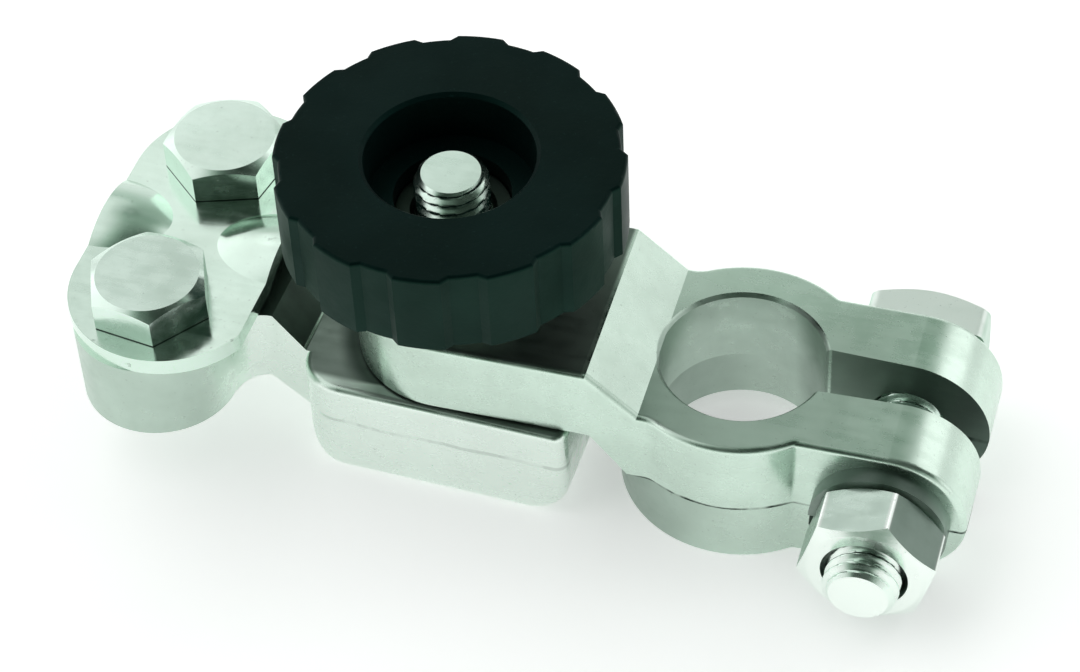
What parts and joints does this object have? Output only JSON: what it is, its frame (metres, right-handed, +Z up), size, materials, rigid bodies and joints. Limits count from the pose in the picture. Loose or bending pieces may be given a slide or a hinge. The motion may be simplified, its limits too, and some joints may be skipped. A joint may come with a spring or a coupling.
{
  "type": "quick-disconnect battery terminal clamp",
  "caption": "Battery terminal clamp with a split post ring and bolt, a black rotary knob that breaks the circuit, and a cable arm with a bolted saddle plate.",
  "frame": {"origin": "on the axis of the battery post, level with the clamp bolt's axis", "axes": "+X points from the post to the clamp bolt, +Z points up the post and along the knob's stud, +Y points to the bolt's square head"},
  "size_m": [0.0987, 0.0429, 0.0396],
  "materials": {
    "nickel_casting": "satin nickel plate on a brass casting",
    "nickel_plate": "bright nickel plate on pressed brass",
    "plated_steel": "bright plated steel fasteners",
    "spring_steel": "drawn spring wire",
    "nylon": "natural moulded nylon",
    "black_nylon": "black moulded plastic, fine matt top"
  },
  "bodies": {
    "post_arm": {"post_clamp": "nickel_casting"},
    "knob_unit": {"knob": "black_nylon", "knob_nut": "plated_steel", "thrust_washer": "plated_steel"},
    "bush": {"insulating_bush": "nylon"},
    "arm": {"cable_arm": "nickel_casting", "stud": "plated_steel", "contact_spring": "spring_steel"},
    "saddle": {"saddle_plate": "nickel_plate"},
    "front_bolt": {"saddle_bolt_front": "plated_steel"},
    "rear_bolt": {"saddle_bolt_rear": "plated_steel"},
    "post_bolt": {"clamp_bolt": "plated_steel"},
    "post_washer": {"clamp_lock_washer": "plated_steel"},
    "post_nut": {"clamp_nut": "plated_steel"}
  },
  "joints": [
    {"name": "knob_turn", "type": "hinge", "parent": "post_arm", "child": "knob_unit", "pos_m": [-0.03106, 0, 0.0262], "axis": [0, 0, 1], "range_deg": [0, 720]},
    {"name": "arm_swivel", "type": "hinge", "parent": "post_arm", "child": "bush", "pos_m": [-0.03106, 0, 0.009], "axis": [0, 0, 1], "range_deg": [-12, 16]},
    {"name": "arm_drop", "type": "slide", "parent": "bush", "child": "arm", "axis": [0, 0, -1], "range_m": [0, 0.0025], "deforming": ["contact_spring"]},
    {"name": "saddle_lift", "type": "slide", "parent": "arm", "child": "saddle", "axis": [0, 0, 1], "range_m": [0, 0.00375]},
    {"name": "front_bolt_turn", "type": "hinge", "parent": "saddle", "child": "front_bolt", "pos_m": [-0.06257, -0.00969, 0.0112], "axis": [0, 0, 1], "range_deg": [0, 1080]},
    {"name": "rear_bolt_turn", "type": "hinge", "parent": "saddle", "child": "rear_bolt", "pos_m": [-0.06165, 0.01229, 0.0112], "axis": [0, 0, 1], "range_deg": [0, 1080]},
    {"name": "clamp_bolt_turn", "type": "hinge", "parent": "post_arm", "child": "post_bolt", "pos_m": [0.0173, 0.0107, 0], "axis": [0, 1, 0], "continuous": true},
    {"name": "washer_slide", "type": "slide", "parent": "post_arm", "child": "post_washer", "axis": [0, -1, 0], "range_m": [0, 0.00875]},
    {"name": "clamp_nut_turn", "type": "hinge", "parent": "post_washer", "child": "post_nut", "pos_m": [0.0173, -0.0127, 0], "axis": [0, -1, 0], "range_deg": [0, 2520]}
  ],
  "couplings": [
    {"joint": "knob_turn", "follows": "arm_drop", "rad_per_m": 5026.5},
    {"joint": "saddle_lift", "follows": "front_bolt_turn", "m_per_rad": 0.00019894},
    {"joint": "rear_bolt_turn", "follows": "front_bolt_turn", "ratio": 1},
    {"joint": "washer_slide", "follows": "clamp_nut_turn", "m_per_rad": 0.00019894}
  ]
}
